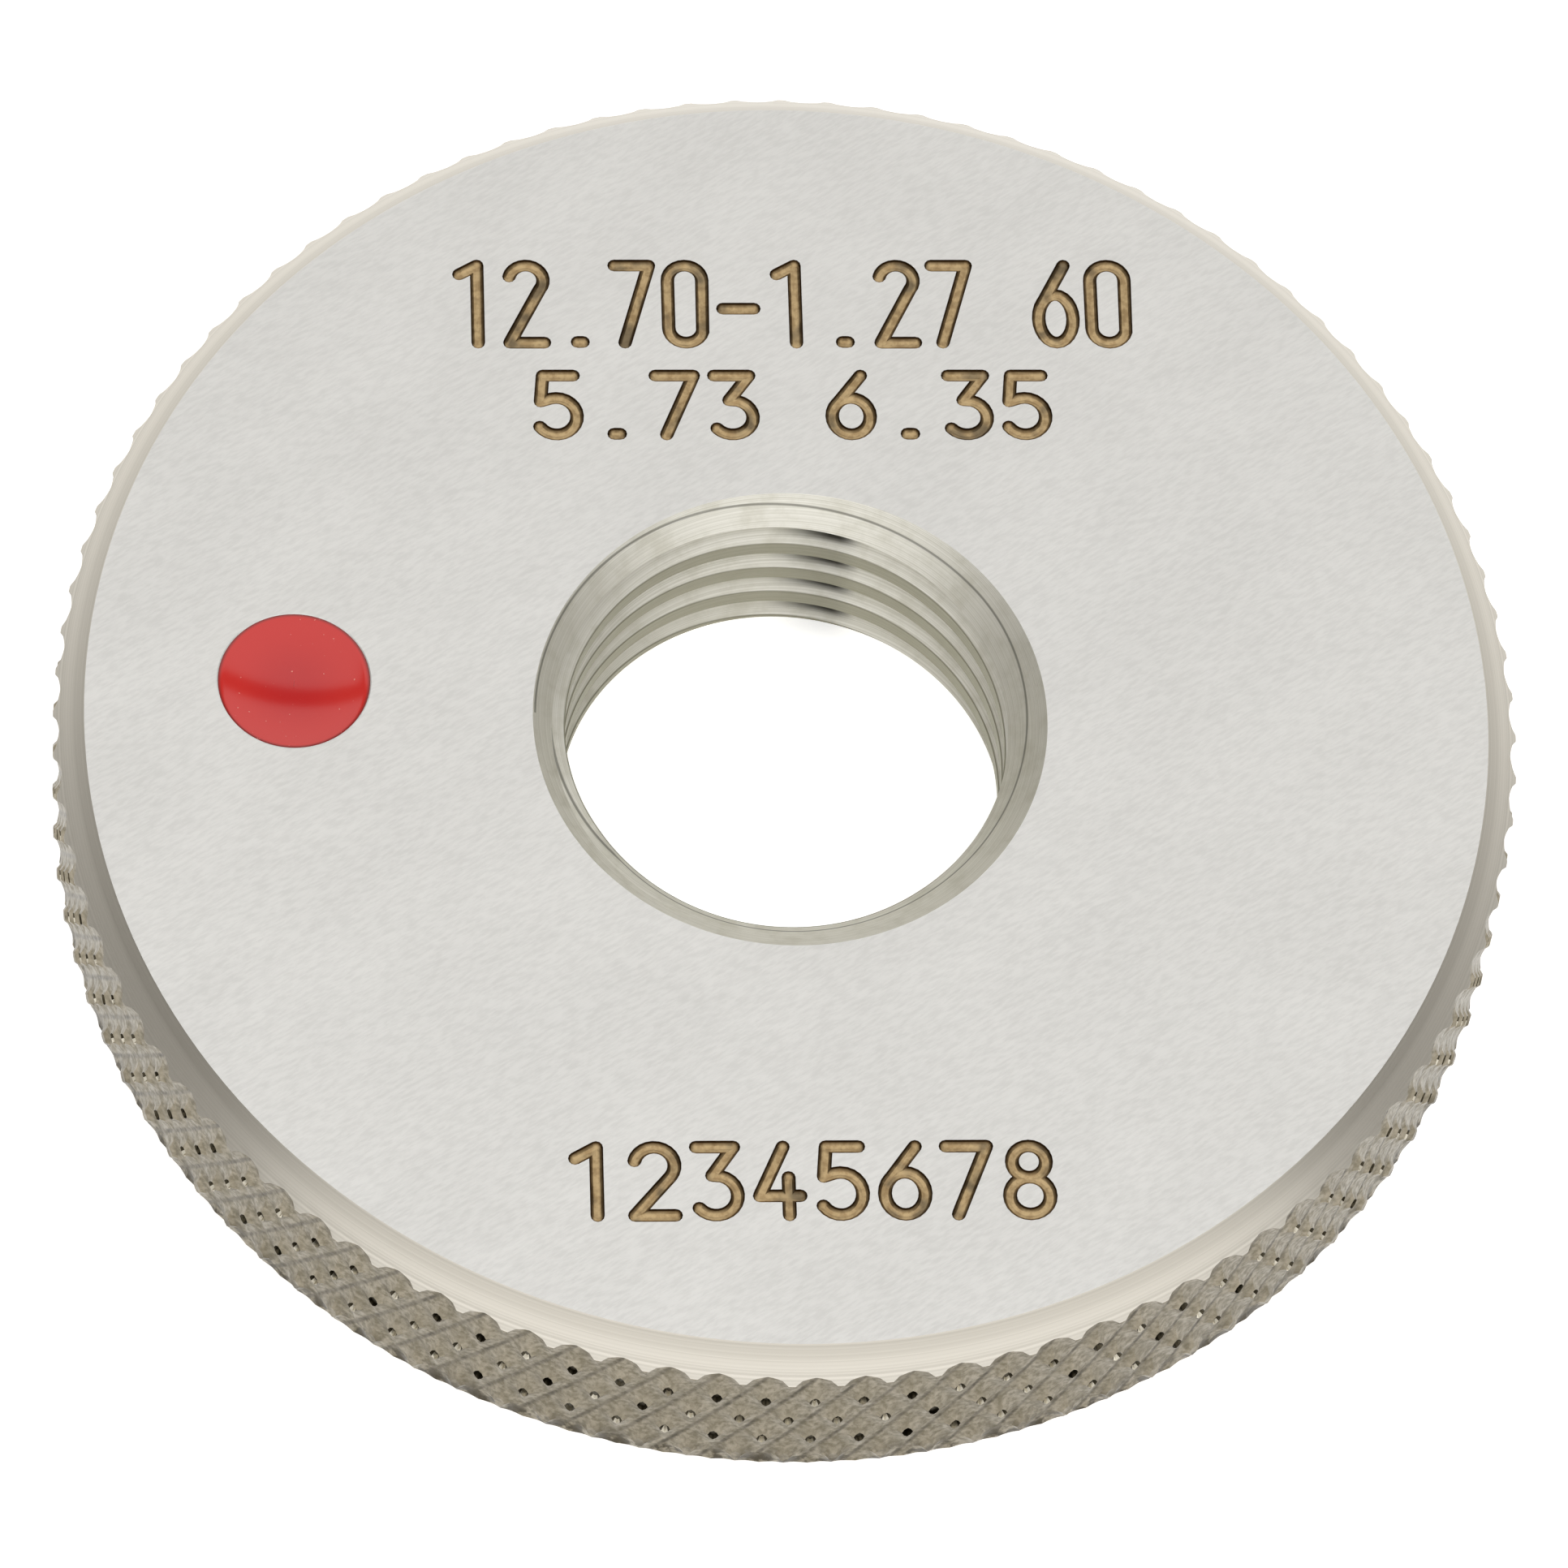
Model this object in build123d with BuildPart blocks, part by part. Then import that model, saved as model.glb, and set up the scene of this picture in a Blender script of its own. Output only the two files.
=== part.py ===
"""Solid thread ring gauge: a one-piece hardened ring with a diamond-knurled rim, a
ground thread and a small dimple that holds a drop of red lacquer.

Millimetres, +Z up. The origin is on the thread axis, in the plane of the underside.
"""

import os
from math import atan2, cos, degrees, radians, sin, sqrt, tan

from build123d import *

os.makedirs("parts", exist_ok=True)

# Ring blank: flat faces, 45 degree chamfers and a smooth edge beside the knurl.
ring_height = 6.2
face_radius = 18.17
edge_radius = 18.79

# Diamond knurl on the rim: two families of straight 90 degree V grooves.
knurl_radius = 19.0
knurl_depth = 0.38
knurl_count = 96
knurl_lean = 30.0  # degrees from the axis, to either hand
knurl_turn = 0.64  # degrees from +X to a crossing of two grooves
knurl_row_drop = 2.81  # from the upper face to that crossing
knurl_run_out = 0.45  # height in which the grooves rise to the smooth edge
band_wall = 0.5  # behind the grooves

# Right-hand 60 degree thread, 12.70 mm across and 1.27 mm pitch, "no go" form.
thread_pitch = 1.27
thread_major_radius = 6.35
thread_pitch_radius = 5.866
thread_minor_radius = 5.7285
thread_flank = 30.0
thread_turn = 88.0  # degrees from +X to where the upper groove is at its stated depth
thread_drop = 1.006  # from the upper face to the groove's middle there
thread_overreach = 0.3  # of the cutter into the open bore

# Countersinks of the bore. The upper one is a little off the thread axis.
mouth_radius = 6.66
mouth_depth = 1.2
upper_mouth_offset = (0.06, -0.18)

# Dimple in the upper face, and the lacquer that dried in it.
dimple_inset = 5.42  # from the edge of the flat face to the dimple's centre
dimple_aside = 0.92  # from the XZ plane
dimple_radius = 2.0
dimple_depth = 0.42
lacquer_radius = 1.97
lacquer_lip = 0.05  # level rim round the hollow
lacquer_hollow = 0.3

edge_chamfer = edge_radius - face_radius
knurl_chamfer = knurl_radius - face_radius
groove_bottom = knurl_radius - knurl_depth
core_radius = groove_bottom - 0.1 * knurl_depth
seat_radius = core_radius - band_wall
run_out_taper = degrees(atan2(edge_radius - core_radius, knurl_run_out))
dimple_place = (dimple_inset - face_radius, dimple_aside)


def groove_half_width(radius):
    """Half of the thread groove's width along the axis, at a radius."""
    slope = tan(radians(thread_flank))
    return thread_pitch / 4 - (radius - thread_pitch_radius) * slope


def sphere_radius(rim_radius, rise):
    """Radius of the sphere whose cap has this rim and this height."""
    return (rim_radius**2 + rise**2) / (2 * rise)


def rim_outline(radius):
    """Outline of the rim, with a flat at this radius across each column of diamonds."""
    columns = 2 * knurl_count
    RegularPolygon(
        radius,
        columns,
        major_radius=False,
        rotation=knurl_turn + 180 / columns,
    )


def knurl_groove(hand):
    """One straight V groove across the rim at +X, leaning to one hand."""
    lean = radians(hand * knurl_lean)
    across = Plane(
        origin=(groove_bottom, 0, ring_height - knurl_row_drop),
        x_dir=(1, 0, 0),
        z_dir=(0, sin(lean), cos(lean)),
    )
    reach = 2 * knurl_depth
    with BuildPart() as groove:
        with BuildSketch(across):
            with BuildLine():
                Polyline((0, 0), (reach, reach), (reach, -reach), close=True)
            make_face()
        extrude(amount=0.7 * ring_height, both=True)
    return groove.part


# Both solids below have one flat for each column of diamonds, so that every tooth has
# a flat top and straight edges. That outline is within 0.003 mm of round.
right_groove = knurl_groove(1)
left_groove = knurl_groove(-1)
with BuildPart() as knurled_band:
    with BuildSketch(Plane.XY):
        rim_outline(face_radius)
    extrude(amount=knurl_chamfer, taper=-45)
    with BuildSketch(Plane.XY.offset(knurl_chamfer)):
        rim_outline(knurl_radius)
    extrude(amount=ring_height - 2 * knurl_chamfer)
    with BuildSketch(Plane.XY.offset(ring_height - knurl_chamfer)):
        rim_outline(knurl_radius)
    extrude(amount=knurl_chamfer, taper=45)
    with BuildSketch(Plane.XY):
        Circle(seat_radius)
    extrude(amount=ring_height, mode=Mode.SUBTRACT)
    with PolarLocations(0, knurl_count, start_angle=knurl_turn):
        add(right_groove, mode=Mode.SUBTRACT)
    with PolarLocations(0, knurl_count, start_angle=knurl_turn):
        add(left_groove, mode=Mode.SUBTRACT)

# One turn of the thread groove: a trapezium that is widest at the bore.
cutter_radius = thread_minor_radius - thread_overreach
inner_half = groove_half_width(cutter_radius)
outer_half = groove_half_width(thread_major_radius)
turns = 2 + int(ring_height / thread_pitch + 1)
first_turn = ring_height - thread_drop - (turns - 1) * thread_pitch
with BuildPart() as thread_cutter:
    with BuildLine():
        lead = Helix(
            pitch=thread_pitch,
            height=thread_pitch,
            radius=thread_minor_radius,
        )
    with BuildSketch(Plane.XZ):
        with BuildLine():
            Polyline(
                (cutter_radius, -inner_half),
                (thread_major_radius, -outer_half),
                (thread_major_radius, outer_half),
                (cutter_radius, inner_half),
                close=True,
            )
        make_face()
    sweep(path=lead, is_frenet=True)
groove_turn = thread_cutter.part.rotate(Axis.Z, thread_turn)

# The ring: a core whose rim tapers in behind the grooves, the bore with its thread and
# countersinks, the dimple, and the knurled band.
dimple_sphere = sphere_radius(dimple_radius, dimple_depth)
with BuildPart() as gauge_ring:
    with BuildSketch(Plane.XY):
        rim_outline(face_radius)
    extrude(amount=edge_chamfer, taper=-45)
    with BuildSketch(Plane.XY.offset(edge_chamfer)):
        rim_outline(edge_radius)
    extrude(amount=knurl_run_out, taper=run_out_taper)
    with BuildSketch(Plane.XY.offset(edge_chamfer)):
        rim_outline(core_radius)
    extrude(amount=ring_height - 2 * edge_chamfer)
    with BuildSketch(Plane.XY.offset(ring_height - edge_chamfer)):
        rim_outline(edge_radius)
    extrude(amount=-knurl_run_out, taper=run_out_taper)
    with BuildSketch(Plane.XY.offset(ring_height - edge_chamfer)):
        rim_outline(edge_radius)
    extrude(amount=edge_chamfer, taper=45)
    with BuildSketch(Plane.XY):
        Circle(thread_minor_radius)
    extrude(amount=ring_height, mode=Mode.SUBTRACT)
    with Locations(*[(0, 0, first_turn + k * thread_pitch) for k in range(turns)]):
        add(groove_turn, mode=Mode.SUBTRACT)
    with Locations((*upper_mouth_offset, ring_height)):
        Cone(
            mouth_radius - mouth_depth,
            mouth_radius,
            mouth_depth,
            align=(Align.CENTER, Align.CENTER, Align.MAX),
            mode=Mode.SUBTRACT,
        )
    Cone(
        mouth_radius,
        mouth_radius - mouth_depth,
        mouth_depth,
        align=(Align.CENTER, Align.CENTER, Align.MIN),
        mode=Mode.SUBTRACT,
    )
    with Locations((*dimple_place, ring_height - dimple_depth + dimple_sphere)):
        Sphere(dimple_sphere, mode=Mode.SUBTRACT)
    add(knurled_band.part)
gauge_ring.part.label = "gauge_ring"
export_step(gauge_ring.part, "parts/gauge_ring.step")

# Lacquer: a thin lens on the dimple's floor, hollow where it shrank as it dried.
dimple_floor = ring_height - dimple_depth
lacquer_rise = dimple_sphere - sqrt(dimple_sphere**2 - lacquer_radius**2)
lacquer_level = dimple_floor + lacquer_rise
hollow_sphere = sphere_radius(lacquer_radius - lacquer_lip, lacquer_hollow)
with BuildPart() as red_mark:
    with Locations((*dimple_place, dimple_floor + dimple_sphere)):
        Sphere(dimple_sphere)
    with Locations((*dimple_place, lacquer_level)):
        Cylinder(
            dimple_radius,
            lacquer_rise,
            align=(Align.CENTER, Align.CENTER, Align.MAX),
            mode=Mode.INTERSECT,
        )
    with Locations((*dimple_place, lacquer_level - lacquer_hollow + hollow_sphere)):
        Sphere(hollow_sphere, mode=Mode.SUBTRACT)
red_mark.part.label = "red_mark"
export_step(red_mark.part, "parts/red_mark.step")
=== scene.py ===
from math import asin, atan2, ceil, cos, hypot, pi, radians, sin, sqrt, tan

import bmesh
import bpy
from mathutils import Matrix, Vector, noise


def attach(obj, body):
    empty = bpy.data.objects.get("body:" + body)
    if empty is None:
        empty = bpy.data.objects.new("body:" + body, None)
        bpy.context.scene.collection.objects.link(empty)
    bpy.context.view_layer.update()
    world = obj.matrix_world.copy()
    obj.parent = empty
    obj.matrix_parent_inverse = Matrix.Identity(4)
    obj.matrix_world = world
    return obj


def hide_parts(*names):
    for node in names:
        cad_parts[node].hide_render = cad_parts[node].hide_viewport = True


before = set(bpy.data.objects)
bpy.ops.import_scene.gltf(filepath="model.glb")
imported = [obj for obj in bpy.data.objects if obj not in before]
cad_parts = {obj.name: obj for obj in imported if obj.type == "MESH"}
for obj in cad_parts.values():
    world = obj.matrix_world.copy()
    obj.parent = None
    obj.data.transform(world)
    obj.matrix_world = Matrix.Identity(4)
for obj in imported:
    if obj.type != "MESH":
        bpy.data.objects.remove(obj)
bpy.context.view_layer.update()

MM = 0.001

# ---------------------------------------------------------------- sizes, in millimetres

# Ring blank
RING_HEIGHT = 6.2
FACE_RADIUS = 18.17        # where the flat face meets the rim chamfer
CHAMFER_MIDDLE = 18.5      # a ring of points half way up the chamfer
ON_CHAMFER = 2e-4          # a point this near to the chamfer counts as on it

# Diamond knurl
KNURL_RADIUS = 19.0        # over the teeth
KNURL_COUNT = 96
KNURL_LEAN = radians(30.0)
KNURL_TURN = 0.64          # degrees from +X to a crossing of two grooves
KNURL_ROW_DROP = 2.81      # from the upper face to that crossing
KNURL_GROOVE = 0.18        # depth of the grooves' round bottoms
KNURL_SPARE = 1.5          # of the knurl past each face, before it is trimmed
FLANK_POWER = 1.6          # a higher power makes the flanks steeper near the tip
FLANK_REACHES = (0.8, 0.62, 0.44)   # shares of a diamond where a flank has points
CRATER_REACH = 0.23        # share of a diamond that the crater in its tip takes up
CRATER_FLOOR = 0.62        # share of the crater that its floor takes up
CRATER_LIP = 0.01          # below the knurl's full radius
CRATER_DEPTH = 0.13
LIP_HIGHLIGHT_ABOVE = -0.15       # noise above which the lower lip of a crater gets a painted highlight
KNURL_WEAR = 0.012         # mean loss of radius

# Thread, 12.70 mm across and 1.27 mm pitch
THREAD_PITCH = 1.27
THREAD_MAJOR = 6.35
THREAD_MEAN = 5.866
THREAD_MINOR = 5.7285
THREAD_FLANK = radians(30.0)
THREAD_TURN = 88.0         # degrees from +X where the upper groove lies THREAD_DROP down
THREAD_DROP = 1.006
THREAD_OVERREACH = 0.3     # of the cutter into the open bore

# Countersinks
MOUTH_RADIUS = 6.66
MOUTH_DEPTH = 1.2
UPPER_MOUTH_OFFSET = (0.06, -0.18)
MOUTH_SPARE = 0.4          # of the cutter past the face

# Dimple and lacquer
DIMPLE_PLACE = (-12.75, 0.92)
DIMPLE_RADIUS = 2.0
DIMPLE_DEPTH = 0.42
DIMPLE_SPARE = 0.35        # of the cutter's radius past the dimple's rim
LACQUER_RADIUS = 1.97
LACQUER_LIP = 0.05         # level rim round the hollow
LACQUER_HOLLOW = 0.3

# Engraved figures: text, left end, foot, right end and height of their centre lines
STROKE_WIDTH = 0.36
STROKE_DEPTH = 0.13
STROKE_SIDES = 12          # of the bars that cut the strokes
FIGURE_SHARE = 0.65        # a figure's width, as a share of the pace from one to the next
FIGURE_LINES = (
    ("12.70-1.27 60", -8.37, 11.03, 9.26, 2.35),
    ("5.73 6.35", -6.26, 8.25, 7.03, 1.78),
    ("12345678", -5.89, -14.54, 6.26, 1.93),
)

ROUND_STEPS = 2 * KNURL_COUNT   # sides of every turned circle
LENS_STEPS = 96                 # sides of the dimple and the lacquer
OFF_AXIS = 0.001                # keeps a turned outline's points off the axis
SAME_POINT = 1e-4               # points closer than this are made one
SEAM = 1e-3                     # the same, where two meshes meet
SHARP_ANGLE = radians(19)
LACQUER_SHARP_ANGLE = radians(40)


# ---------------------------------------------------------------- small mesh helpers
# Meshes are worked in millimetres, and finished pieces are brought down to metres.

def new_object(name, data):
    """A new object in the scene, for a mesh, a curve, a lamp or a camera."""
    piece = bpy.data.objects.new(name, data)
    bpy.context.collection.objects.link(piece)
    return piece


def mesh_from(name, points, faces, finish):
    """Mesh of millimetre points in one finish, with its faces turned outward."""
    mesh = bpy.data.meshes.new(name)
    mesh.materials.append(finish)
    mesh.from_pydata(points, [], faces)
    shape = bmesh.new()
    shape.from_mesh(mesh)
    bmesh.ops.remove_doubles(shape, verts=shape.verts, dist=SAME_POINT)
    bmesh.ops.recalc_face_normals(shape, faces=shape.faces)
    shape.to_mesh(mesh)
    shape.free()
    return mesh


def lathe(name, outline, steps, finish, centre=(0.0, 0.0), first_angle=0.0):
    """Closed solid of revolution of (radius, height) points about a vertical axis."""
    points = []
    for k in range(steps):
        angle = radians(first_angle) + 2 * pi * k / steps
        for radius, height in outline:
            points.append((centre[0] + radius * cos(angle),
                           centre[1] + radius * sin(angle), height))
    count = len(outline)
    faces = []
    for k in range(steps):
        here = k * count
        there = (k + 1) % steps * count
        for i in range(count):
            j = (i + 1) % count
            faces.append((here + i, there + i, there + j, here + j))
    return mesh_from(name, points, faces, finish)


def sphere_radius(rim, rise):
    """Radius of the sphere whose cap has this rim radius and this height."""
    return (rim ** 2 + rise ** 2) / (2 * rise)


def carve(mesh, cutter, self_crossing=False):
    """The mesh with the cutter mesh cut away. New walls keep the cutter's finish."""
    body = new_object("body", mesh)
    helper = new_object("cutter", cutter)
    cut = body.modifiers.new("cut", "BOOLEAN")
    cut.operation = "DIFFERENCE"
    cut.object = helper
    cut.solver = "EXACT"
    cut.material_mode = "TRANSFER"
    cut.use_self = self_crossing
    bpy.context.view_layer.update()
    seen = body.evaluated_get(bpy.context.evaluated_depsgraph_get())
    result = bpy.data.meshes.new_from_object(seen)
    bpy.data.objects.remove(helper)
    bpy.data.objects.remove(body)
    return result


# ---------------------------------------------------------------- Geometry Nodes helper

def add_node(tree, kind, inputs=None, **settings):
    """A new node with its settings. Its inputs are set or linked, by name or index."""
    node = tree.nodes.new(kind)
    for key, value in settings.items():
        setattr(node, key, value)
    for key, value in (inputs or {}).items():
        socket = node.inputs[key]
        if isinstance(value, bpy.types.NodeSocket):
            tree.links.new(value, socket)
        else:
            socket.default_value = value
    return node


def new_tree(name, sizes):
    """Geometry tree with a Geometry input and one named input for each size."""
    tree = bpy.data.node_groups.new(name, "GeometryNodeTree")
    shape = ("Geometry", "NodeSocketGeometry")
    for label, kind in (shape, *sizes):
        tree.interface.new_socket(label, in_out="INPUT", socket_type=kind)
    tree.interface.new_socket(shape[0], in_out="OUTPUT", socket_type=shape[1])
    entry = tree.nodes.new("NodeGroupInput")
    leave = tree.nodes.new("NodeGroupOutput")
    return tree, entry, leave


def run_tree(mesh, tree, values):
    """The plain mesh that the tree makes of a mesh, with its named inputs set."""
    carrier = new_object("carrier", mesh)
    grow = carrier.modifiers.new("grow", "NODES")
    grow.node_group = tree
    for item in tree.interface.items_tree:
        if item.in_out == "INPUT" and item.name in values:
            grow[item.identifier] = values[item.name]
    bpy.context.view_layer.update()
    seen = carrier.evaluated_get(bpy.context.evaluated_depsgraph_get())
    result = bpy.data.meshes.new_from_object(seen)
    carrier.modifiers.remove(grow)
    bpy.data.objects.remove(carrier)
    return result


# ---------------------------------------------------------------- ring

def knurl_column():
    """One column of the knurl's raised diamonds, each with a small crater in its tip.

    A diamond lies between four grooves with round bottoms, so its flanks are hollow:
    steep at the tip and level in the grooves. Each ring of points goes round it once,
    and has its share of the diamond, how full its four sides are, and its depth.
    """
    half_step = radians(180 / KNURL_COUNT)
    row = half_step * KNURL_RADIUS / tan(KNURL_LEAN)
    rings = [(1.0, 1.0, KNURL_GROOVE)]
    for reach in FLANK_REACHES:
        sink = KNURL_GROOVE * (1 - (1 - reach) ** FLANK_POWER)
        rings.append((reach, 1.0 + 0.1 * (1 - reach), sink))
    rings.append((CRATER_REACH, 1.25, CRATER_LIP))
    rings.append((CRATER_FLOOR * CRATER_REACH, 1.3, CRATER_DEPTH))
    trimmed = KNURL_RADIUS - FACE_RADIUS + 2 * CRATER_REACH * row
    shape = bmesh.new()
    for step in range(-4, 5):
        level = RING_HEIGHT - KNURL_ROW_DROP + step * row
        if not -KNURL_SPARE < level < RING_HEIGHT + KNURL_SPARE:
            continue
        turn = radians(KNURL_TURN) + (half_step if step % 2 == 0 else 0.0)
        outer = None
        for reach, fullness, sink in rings:
            if reach < CRATER_REACH and not trimmed < level < RING_HEIGHT - trimmed:
                sink = CRATER_LIP
            radius = KNURL_RADIUS - sink
            ring = []
            for k in range(8):
                aside, up = cos(k * pi / 4), sin(k * pi / 4)
                share = reach / (abs(aside) + abs(up)) * (fullness if k % 2 else 1.0)
                angle = turn + share * aside * half_step
                ring.append(shape.verts.new((radius * cos(angle), radius * sin(angle),
                                             level + share * up * row)))
            if outer:
                for k in range(8):
                    j = (k + 1) % 8
                    shape.faces.new((outer[k], outer[j], ring[j], ring[k]))
            outer = ring
        shape.faces.new(outer)
    bmesh.ops.remove_doubles(shape, verts=shape.verts, dist=SAME_POINT)
    mesh = bpy.data.meshes.new("knurl_column")
    shape.to_mesh(mesh)
    shape.free()
    return mesh


def knurl_tree():
    """Copies of one column of diamonds, turned round the axis and welded together."""
    tree, entry, leave = new_tree("knurl_round_the_rim", (
        ("Columns", "NodeSocketInt"), ("Weld", "NodeSocketFloat"),
        ("Material", "NodeSocketMaterial")))
    start = entry.outputs
    points = add_node(tree, "GeometryNodeMeshLine", {
        "Count": start["Columns"], "Offset": (0.0, 0.0, 0.0)})
    number = add_node(tree, "GeometryNodeInputIndex")
    share = add_node(tree, "ShaderNodeMath", {
        0: number.outputs[0], 1: start["Columns"]}, operation="DIVIDE")
    turn = add_node(tree, "ShaderNodeMath", {0: share.outputs[0], 1: 2 * pi},
                    operation="MULTIPLY")
    round_z = add_node(tree, "ShaderNodeCombineXYZ", {2: turn.outputs[0]})
    copies = add_node(tree, "GeometryNodeInstanceOnPoints", {
        "Points": points.outputs[0], "Instance": start["Geometry"],
        "Rotation": round_z.outputs[0]})
    solid = add_node(tree, "GeometryNodeRealizeInstances", {0: copies.outputs[0]})
    welded = add_node(tree, "GeometryNodeMergeByDistance", {
        "Geometry": solid.outputs[0], "Distance": start["Weld"]})
    dressed = add_node(tree, "GeometryNodeSetMaterial", {
        "Geometry": welded.outputs[0], "Material": start["Material"]})
    tree.links.new(dressed.outputs[0], leave.inputs[0])
    return tree


def trim_to_chamfer(shape, level, inward, slot):
    """Cuts the knurl off at a 45 degree chamfer, and lays the chamfer's own surface."""
    def over(vert):
        lift = (vert.co.z - level) * inward
        gap = hypot(vert.co.x, vert.co.y) - FACE_RADIUS - lift
        return 0.0 if abs(gap) < ON_CHAMFER else gap

    gaps = {vert: over(vert) for vert in shape.verts}
    for edge in list(shape.edges):
        first, second = edge.verts
        if gaps[first] * gaps[second] < 0:
            share = gaps[first] / (gaps[first] - gaps[second])
            vert = bmesh.utils.edge_split(edge, first, share)[1]
            grow = (FACE_RADIUS + (vert.co.z - level) * inward) / hypot(*vert.co.xy)
            vert.co.xy *= grow
            gaps[vert] = 0.0
    for face in list(shape.faces):
        sides = [gaps[vert] for vert in face.verts]
        if min(sides) < 0 < max(sides):
            ends = [vert for vert in face.verts if gaps[vert] == 0.0]
            bmesh.utils.face_split(face, ends[0], ends[1])
    gone = [face for face in shape.faces if max(gaps[v] for v in face.verts) > 0]
    bmesh.ops.delete(shape, geom=gone, context="FACES")

    edge_ring = {}
    for edge in shape.edges:
        if edge.is_boundary and gaps[edge.verts[0]] == gaps[edge.verts[1]] == 0.0:
            for vert, other in (edge.verts, reversed(edge.verts)):
                edge_ring.setdefault(vert, []).append(other)

    def angle_of(vert):
        return atan2(vert.co.y, vert.co.x) - radians(KNURL_TURN)

    here = min(edge_ring, key=lambda vert: abs(angle_of(vert)))
    after = max(edge_ring[here], key=lambda vert: angle_of(vert))
    loop = [here]
    while after is not loop[0]:
        loop.append(after)
        first, second = edge_ring[after]
        here, after = after, (first if second is here else second)
    step = 2 * pi / ROUND_STEPS
    angles = [radians(KNURL_TURN) + k * step for k in range(ROUND_STEPS)]
    circles = []
    for radius in (CHAMFER_MIDDLE, FACE_RADIUS):
        lift = level + inward * (radius - FACE_RADIUS)
        circles.append([shape.verts.new((radius * cos(angle), radius * sin(angle), lift))
                        for angle in angles])
    middle, inner = circles
    stops = []
    for vert in middle:
        aim = vert.co.xy.normalized()
        stops.append(max(range(len(loop)),
                         key=lambda i: loop[i].co.xy.normalized() @ aim))
    for k in range(ROUND_STEPS):
        j = (k + 1) % ROUND_STEPS
        last = stops[j] if j else len(loop)
        run = [loop[i % len(loop)] for i in range(stops[k], last + 1)]
        for ring in (run + [middle[j], middle[k]],
                     [middle[k], middle[j], inner[j], inner[k]]):
            shape.faces.new(ring).material_index = slot


def knurled_rim(knurl_finish, chamfer_finish, crater_shade_finish, lip_highlight_finish):
    """The rim of the ring: its knurl, trimmed by a chamfer at each face."""
    mesh = run_tree(knurl_column(), knurl_tree(), {
        "Columns": KNURL_COUNT, "Weld": SEAM, "Material": knurl_finish})
    mesh.materials.clear()
    for finish in (knurl_finish, chamfer_finish, crater_shade_finish, lip_highlight_finish):
        mesh.materials.append(finish)
    knurl_slot, chamfer_slot, crater_shade_slot, lip_highlight_slot = range(4)
    shape = bmesh.new()
    shape.from_mesh(mesh)
    bmesh.ops.recalc_face_normals(shape, faces=shape.faces)
    for face in shape.faces:
        face.material_index = knurl_slot
    for face in shape.faces:
        walls = [other for edge in face.edges for other in edge.link_faces
                 if other is not face]
        # Only the floor of a crater has eight sides, with walls that face each other.
        if len(face.verts) == 8 and abs(walls[2].normal.z - walls[6].normal.z) > 0.5:
            middle = face.calc_center_median()
            lit_lip = noise.noise(middle * 3.1) > LIP_HIGHLIGHT_ABOVE
            # The crater's floor, and its walls unless they get the painted highlight
            # below, take a darker copy of the knurl: painted shade in the hollow.
            face.material_index = crater_shade_slot
            for wall in walls:
                # Up-facing walls of craters where the noise is high take a brighter copy
                # of the knurl: a painted highlight.
                bright = lit_lip and wall.normal.z > 0.3
                wall.material_index = lip_highlight_slot if bright else crater_shade_slot
            spread = 1 + 0.7 * noise.noise(middle * 5.3)
            lift = 0.8 * CRATER_DEPTH * noise.noise(middle * 7.9) / KNURL_RADIUS
            for vert in face.verts:
                vert.co = middle + (vert.co - middle) * spread
                vert.co.xy *= 1 + lift
    for vert in shape.verts:
        wear = noise.noise(vert.co * 1.7) + 0.6 * noise.noise(vert.co * 4.3)
        vert.co.xy *= 1 - KNURL_WEAR * max(0.0, 1 + wear) / KNURL_RADIUS
    trim_to_chamfer(shape, RING_HEIGHT, -1, chamfer_slot)
    trim_to_chamfer(shape, 0.0, 1, chamfer_slot)
    shape.to_mesh(mesh)
    shape.free()
    return mesh


def thread_cutter(finish):
    """The thread groove as one long right-hand helical bar, past both faces."""
    reach = THREAD_MINOR - THREAD_OVERREACH
    section = []
    for radius, side in ((reach, -1), (THREAD_MAJOR, -1),
                         (THREAD_MAJOR, 1), (reach, 1)):
        half = THREAD_PITCH / 4 - (radius - THREAD_MEAN) * tan(THREAD_FLANK)
        section.append((radius, side * half))
    steps = ROUND_STEPS
    turns = ceil(RING_HEIGHT / THREAD_PITCH) + 2
    foot = RING_HEIGHT - THREAD_DROP - (turns - 1) * THREAD_PITCH
    points = []
    for k in range(turns * steps + 1):
        angle = radians(THREAD_TURN) + 2 * pi * k / steps
        lift = foot + THREAD_PITCH * k / steps
        for radius, height in section:
            points.append((radius * cos(angle), radius * sin(angle),
                           lift + height))
    faces = [(0, 1, 2, 3), tuple(turns * steps * 4 + i for i in range(4))]
    for k in range(turns * steps):
        for i in range(4):
            j = (i + 1) % 4
            faces.append((k * 4 + i, k * 4 + j, (k + 1) * 4 + j, (k + 1) * 4 + i))
    return mesh_from("thread_cutter", points, faces, finish)


def mouth_cutter(level, inward, offset, finish):
    """A 45 degree countersink at a face. Its inward direction is 1 up or -1 down."""
    outer = level - inward * MOUTH_SPARE
    inner = level + inward * MOUTH_DEPTH
    outline = [(OFF_AXIS, outer), (MOUTH_RADIUS + MOUTH_SPARE, outer),
               (MOUTH_RADIUS - MOUTH_DEPTH, inner), (OFF_AXIS, inner)]
    return lathe("mouth_cutter", outline, ROUND_STEPS, finish, offset)


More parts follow.
